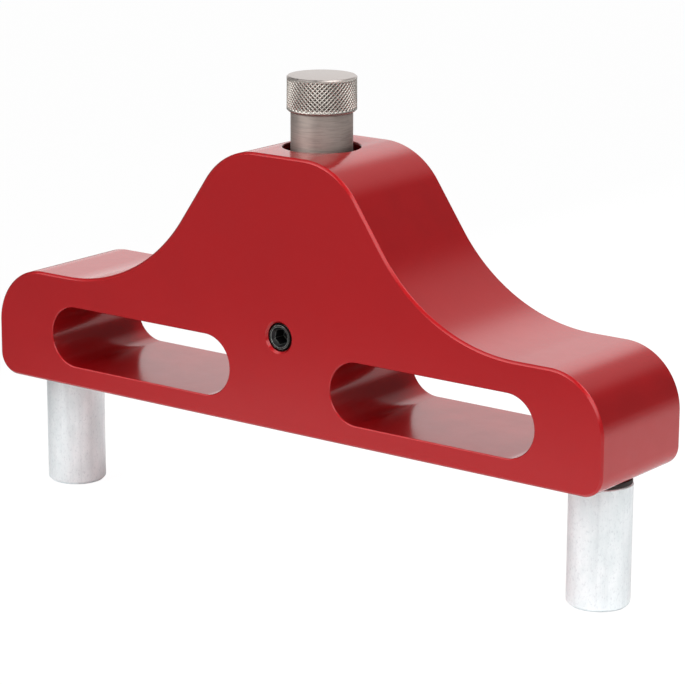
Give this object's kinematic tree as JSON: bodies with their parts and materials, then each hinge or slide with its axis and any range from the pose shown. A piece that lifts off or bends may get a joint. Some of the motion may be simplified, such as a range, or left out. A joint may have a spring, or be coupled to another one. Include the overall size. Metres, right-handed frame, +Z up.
{
  "type": "self-centring marking jig",
  "caption": "Slotted plate with a raised middle, guide rollers under its ends and a sliding knurled marker on its centre line, for marking the middle of a board's edge.",
  "frame": {"origin": "on the ground plane that the rollers' ends stand on, midway between them, under the marker's axis", "axes": "+X along the plate, +Y through its thickness away from the clamp screw's face, +Z up the marker's axis"},
  "size_m": [0.155, 0.0286, 0.0975],
  "materials": {
    "red_anodised": "satin",
    "marker_steel": "fine turned",
    "tool_steel": "hardened",
    "black_oxide": "satin",
    "roller_zinc": "matt zinc",
    "washer_grey": "matt"
  },
  "bodies": {
    "plate": {"jig_body": "red_anodised", "left_thrust_washer": "washer_grey", "right_thrust_washer": "washer_grey", "left_shoulder_screw": "black_oxide", "right_shoulder_screw": "black_oxide"},
    "marker": {"marker_insert": "marker_steel", "scriber_point": "tool_steel"},
    "clamp": {"clamp_screw": "black_oxide"},
    "left_guide": {"left_roller": "roller_zinc"},
    "right_guide": {"right_roller": "roller_zinc"}
  },
  "joints": [
    {"name": "marker_slide", "type": "slide", "parent": "plate", "child": "marker", "axis": [0, 0, 1], "range_m": [-0.0123, 0.001]},
    {"name": "clamp_travel", "type": "slide", "parent": "plate", "child": "clamp", "axis": [0, -1, 0], "range_m": [0, 0.003]},
    {"name": "left_roller_spin", "type": "hinge", "parent": "plate", "child": "left_guide", "pos_m": [-0.0685, 0, 0.0125], "axis": [0, 0, 1], "continuous": true},
    {"name": "right_roller_spin", "type": "hinge", "parent": "plate", "child": "right_guide", "pos_m": [0.0685, 0, 0.0125], "axis": [0, 0, 1], "continuous": true}
  ]
}
